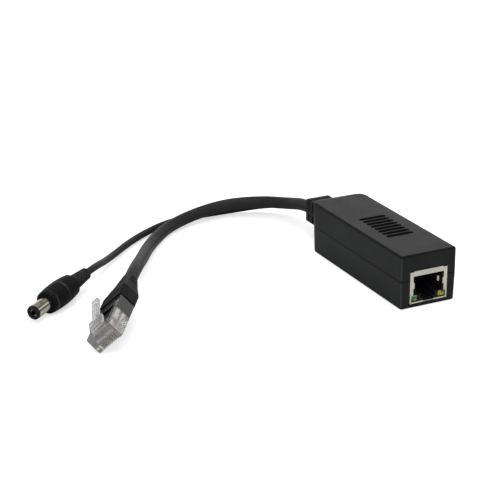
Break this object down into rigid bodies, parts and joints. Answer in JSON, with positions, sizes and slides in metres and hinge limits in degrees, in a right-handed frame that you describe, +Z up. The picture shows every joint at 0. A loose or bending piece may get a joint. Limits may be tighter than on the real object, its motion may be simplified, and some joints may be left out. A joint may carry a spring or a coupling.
{
  "type": "power-over-ethernet splitter",
  "caption": "Small black in-line network power splitter: vented housing with a network jack in front, and a short network lead and DC power lead from a ribbed rear grommet.",
  "frame": {"origin": "middle of the housing's underside, on the surface it stands on", "axes": "+X out of the jack along the housing, +Y across it, +Z up"},
  "size_m": [0.1272, 0.1498, 0.0212],
  "materials": {
    "shell": "satin black moulding",
    "boot": "satin black flexible moulding",
    "cable_jacket": "smooth black cable jacket with a soft sheen",
    "shield": "nickel-plated sheet",
    "insert": "black moulding",
    "gold": "gold-plated contact",
    "lamp_green": "tinted green lamp",
    "lamp_yellow": "tinted yellow lamp",
    "board": "green solder mask",
    "chip_black": "black epoxy package",
    "ferrite": "grey ferrite",
    "winding": "enamelled copper wire",
    "bobbin": "black phenolic",
    "can": "sleeved aluminium can",
    "ceramic": "ceramic chip",
    "clear": "clear polycarbonate",
    "wire_red": "red wire insulation",
    "wire_black": "black wire insulation",
    "wire_pale": "pale wire insulation",
    "barrel": "nickel-plated barrel",
    "tip": "black plastic tip ring"
  },
  "bodies": {
    "root": {"upper_shell": "shell", "lower_shell": "shell", "circuit_board": "board", "jack_shield": "shield", "jack_insert": "insert", "jack_contacts": "gold", "led_green": "lamp_green", "led_yellow": "lamp_yellow", "cable_grommet": "boot", "lan_magnetics": "chip_black", "bridge_rectifiers": "chip_black", "poe_controller": "chip_black", "power_mosfet": "chip_black", "optocoupler": "chip_black", "output_diode": "chip_black", "chip_parts": "ceramic", "transformer_base": "bobbin", "transformer_core": "ferrite", "transformer_coil": "winding", "input_capacitor": "can", "output_capacitor": "can", "inductor_drum": "ferrite", "inductor_winding": "winding", "network_leads": "wire_pale", "dc_lead_positive": "wire_red", "dc_lead_negative": "wire_black", "network_cable": "cable_jacket", "dc_cable": "cable_jacket", "plug_body": "clear", "plug_contacts": "gold", "plug_wires_red": "wire_red", "plug_wires_pale": "wire_pale", "plug_boot": "boot", "dc_handle": "boot", "dc_barrel": "barrel", "dc_tip_insulator": "tip", "dc_centre_contact": "gold"}
  },
  "joints": []
}
